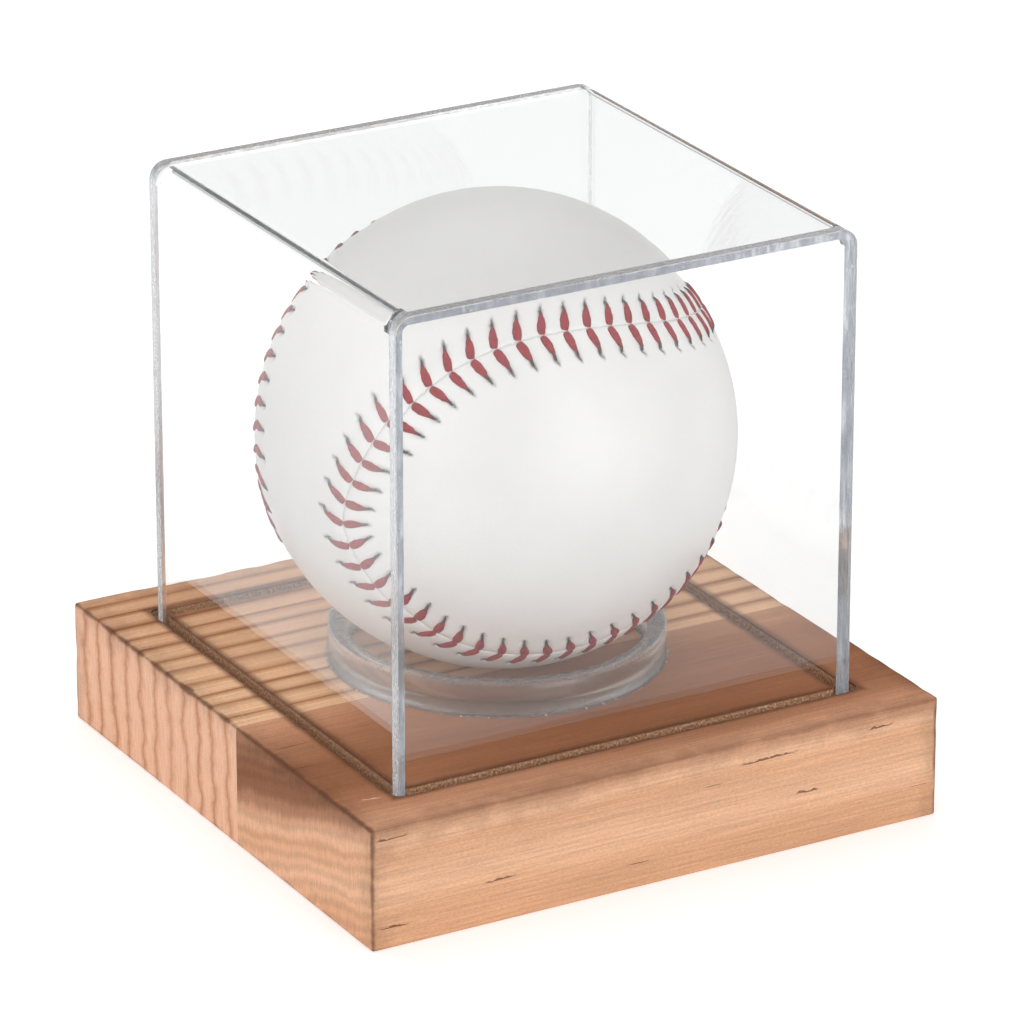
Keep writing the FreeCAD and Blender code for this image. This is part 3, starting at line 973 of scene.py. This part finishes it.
def worn(spot):
    """Where a corner of a board ends up once it is sanded, milled and handled."""
    x, y, z = (part / MM for part in spot)
    place = Vector((x, y, z))
    moved = Vector((0, 0, 0))
    reach = max(abs(x), abs(y))
    if abs(x) > abs(y):
        outward = Vector((math.copysign(1, x), 0, 0))
    else:
        outward = Vector((0, math.copysign(1, y), 0))
    coarse = noise.noise(place * 0.35)
    fine = noise.noise(place * 1.7)
    for wall, into in ((GROOVE_INSIDE, 1), (GROOVE_OUTSIDE, -1)):
        if abs(reach - wall) < ON_WALL and z > GROOVE_FLOOR + 0.3:
            moved += outward * into * (0.05 * fine + 0.05 * coarse)
            if z > BASE_TOP - 0.1:
                moved.z -= 0.06 + 0.10 * abs(fine)
    if GROOVE_INSIDE < reach < GROOVE_OUTSIDE and abs(z - GROOVE_FLOOR) < 0.1:
        # only ever lower, so that the cover's foot doesn't cut into the floor
        moved.z -= 0.01 + 0.05 * abs(fine)
    near_end = BASE_HALF - abs(x) < NEAR_ARRIS
    near_face = BASE_HALF - abs(y) < NEAR_ARRIS
    near_top = BASE_TOP - z < NEAR_ARRIS and reach > GROOVE_OUTSIDE + 1
    if near_end + near_face + near_top >= 2:
        wear = 0.04 + 0.16 * max(0.0, noise.noise(place * 0.22 + Vector((5, 3, 1))))
        if near_end:
            moved.x -= math.copysign(wear, x)
        if near_face:
            moved.y -= math.copysign(wear, y)
        if near_top:
            moved.z -= wear
    return (place + moved) * MM


def board_piece(label, slot, material):
    """A board cut finely from its CAD shape, so that edges can wear and the groove fray."""
    board = cad_copy(label)
    low, high = box_mm(label)
    for axis in range(3):
        facing = Vector([float(axis == k) for k in range(3)])
        count = round((high[axis] - low[axis]) / BOARD_STEP)
        for k in range(1, count):
            level = low[axis] + (high[axis] - low[axis]) * k / count
            cut(board, facing * level * MM, facing)
    for vertex in board.verts:
        vertex.co = worn(vertex.co)
    mesh = bpy.data.meshes.new(label + "_timber")
    board.to_mesh(mesh)
    board.free()
    piece = link_piece(label + "_timber", mesh, "base", slot, material, label)
    for face in piece.data.polygons:
        face.use_smooth = False


def ring_piece(material, rim):
    """The ring, cut from tube: eased corners and a satin sawn top."""
    inner, outer = RING_OUTER - RING_WALL, RING_OUTER
    profile = [(inner, RING_FOOT), (inner, RING_TOP - RING_BEVEL),
               (inner + RING_BEVEL, RING_TOP), (outer - RING_BEVEL, RING_TOP),
               (outer, RING_TOP - RING_BEVEL), (outer, RING_FOOT)]
    count = len(profile)
    points, faces = [], []
    for side in range(RING_SIDES):
        turn = 2 * math.pi * side / RING_SIDES
        for radius, height in profile:
            spot = Vector((radius * math.cos(turn), radius * math.sin(turn), height))
            saw = 0.03 * noise.noise(spot * 0.5) if height > RING_FOOT else 0.0
            points.append((spot + Vector((0, 0, saw - abs(saw)))) * MM)
    for side in range(RING_SIDES):
        following = (side + 1) % RING_SIDES
        for k in range(count):
            faces.append((side * count + k, side * count + (k + 1) % count,
                          following * count + (k + 1) % count, following * count + k))
    mesh = bpy.data.meshes.new("ring_stand_turned")
    mesh.from_pydata(points, [], faces)
    link_piece("ring_stand_turned", mesh, "base", "ring_acrylic", material, "ring_stand")
    mesh.materials.append(rim)
    for face in mesh.polygons:
        standing = abs(face.normal.z) < 0.5
        face.use_smooth = standing
        if not standing:
            face.material_index = 1


# ---------------------------------------------------------------- pieces: the cover

def sheet_outline(inset, bend):
    """An arch with rounded corners, from the left foot over the top to the right foot."""
    side, top = COVER_HALF - inset, COVER_TOP - inset
    points = []
    for k in range(SIDE_STEPS):
        points.append((-side, COVER_FOOT + (top - bend - COVER_FOOT) * k / SIDE_STEPS))
    for k in range(BEND_STEPS + 1):
        turn = math.pi - math.pi / 2 * k / BEND_STEPS
        points.append((bend - side + bend * math.cos(turn), top - bend + bend * math.sin(turn)))
    for k in range(1, SIDE_STEPS):
        points.append((-side + bend + (2 * side - 2 * bend) * k / SIDE_STEPS, top))
    left = points[:SIDE_STEPS + BEND_STEPS + 1]
    return points + [(-px, pz) for px, pz in reversed(left)]


def sheet_faces(count):
    """Skin between the slices of count points, and a cap on each sawn end."""
    faces = []
    for step in range(SHEET_STEPS):
        for k in range(count):
            a, b = step * count + k, step * count + (k + 1) % count
            faces.append((a, a + count, b + count, b))
    for first, flip in ((0, False), (SHEET_STEPS * count, True)):
        for k in range(count // 2 - 1):
            cap = (first + k, first + k + 1, first + count - 2 - k, first + count - 1 - k)
            faces.append(cap[::-1] if flip else cap)
    return faces


def sheet_piece(material, joint):
    """The bent sheet: very slightly wavy, with sawn ends that sit in uneven cement and carry a
    painted reflection.
    """
    outside = sheet_outline(0.0, COVER_BEND)
    inside = sheet_outline(COVER_WALL, COVER_BEND - COVER_WALL)
    loop = outside + inside[::-1]
    end = COVER_HALF - COVER_WALL - GLUE_GAP
    points = []
    for step in range(SHEET_STEPS + 1):
        run = -end + 2 * end * step / SHEET_STEPS
        for px, pz in loop:
            wave = 0.010 * noise.noise(Vector((px * 0.06, run * 0.06, pz * 0.06)))
            inward = Vector((0 - px, 0, COVER_FOOT - pz)).normalized()
            points.append((Vector((px, run, pz)) + inward * abs(wave)) * MM)
    mesh = bpy.data.meshes.new("cover_bent_sheet_polished")
    mesh.from_pydata(points, [], sheet_faces(len(loop)))
    mesh.flip_normals()
    link_piece("cover_bent_sheet_polished", mesh, "cover", "clear_acrylic", material,
               "cover_bent_sheet")
    # the sawn ends get the cement material with its painted reflection
    mesh.materials.append(joint)
    for face in mesh.polygons:
        corner = [mesh.vertices[v].co for v in face.vertices]
        if abs(face.normal.y) > 0.9:
            face.material_index = 1
        past_side = min(abs(v.x) / MM for v in corner) > COVER_HALF - COVER_BEND - 0.1
        past_top = min(v.z / MM for v in corner) > COVER_TOP - COVER_BEND - 0.1
        face.use_smooth = past_side and past_top


def panel_piece(label, material, rim):
    """A glued end panel: clear faces and a satin, scraped rim with softened corners."""
    panel = cad_copy(label)
    for level in PANEL_CUTS:
        cut(panel, Vector((0, 0, level * MM)), Vector((0, 0, 1)))
    for vertex in panel.verts:
        place = vertex.co / MM
        if abs(place.x) > COVER_HALF - 0.3 or place.z > COVER_TOP - 0.3:
            scrape = 0.02 * (1 + noise.noise(place * 0.3))
            vertex.co.x -= math.copysign(scrape, place.x) * MM
            vertex.co.z -= scrape * MM * (place.z > COVER_TOP - 0.3)
    mesh = bpy.data.meshes.new(label + "_polished")
    panel.to_mesh(mesh)
    panel.free()
    link_piece(label + "_polished", mesh, "cover", "clear_acrylic", material, label)
    mesh.materials.append(rim)
    for face in mesh.polygons:
        face.use_smooth = False
        if abs(face.normal.y) < 0.9:
            face.material_index = 1


# ---------------------------------------------------------------- put it together

def give(material, *nodes):
    """A new material for CAD nodes whose shape is right."""
    for name in nodes:
        node = bpy.data.objects[name]
        for slot in node.material_slots:
            slot.material = material


add_camera()
add_studio()
board_piece("base_front_board", "front_wood", front_wood())
board_piece("base_rear_board", "rear_wood", rear_wood())
clear = clear_plastic("clear_acrylic", (0.985, 0.99, 0.99), 0.0)
rim = satin_rim("scraped_panel_rim", 0.70)
for panel in ("cover_front_panel", "cover_back_panel"):
    panel_piece(panel, clear, rim)
sheet_piece(clear, cemented_edge_painted_reflection())
ring_piece(ring_acrylic(), satin_rim("sawn_ring_rim", 0.92))
give(dried_glue(), "ring_adhesive")
give(moulded_rubber("cork_rubber", srgb(104, 72, 44), srgb(164, 122, 80), 0.9),
     "ball_cork_core")
give(moulded_rubber("black_rubber", srgb(18, 18, 18), srgb(34, 33, 32), 2.2),
     "ball_black_rubber_upper_cup", "ball_black_rubber_lower_cup")
give(moulded_rubber("red_rubber", srgb(116, 26, 22), srgb(150, 44, 34), 2.2),
     "ball_red_rubber_washer", "ball_red_rubber_shell")
give(wound_yarn("grey_wool", srgb(92, 96, 102), srgb(134, 138, 142), 0.7),
     "ball_first_wool_winding", "ball_third_wool_winding")
give(wound_yarn("white_wool", srgb(188, 182, 170), srgb(232, 227, 215), 0.7),
     "ball_second_wool_winding")
give(wound_yarn("finishing_yarn", srgb(204, 198, 186), srgb(240, 236, 224), 1.6),
     "ball_finishing_winding")

seam = Seam(BALL_RADIUS)
place = ball_place()
leather_pieces(seam, place, leather())
stitch_piece(seam, place, thread())
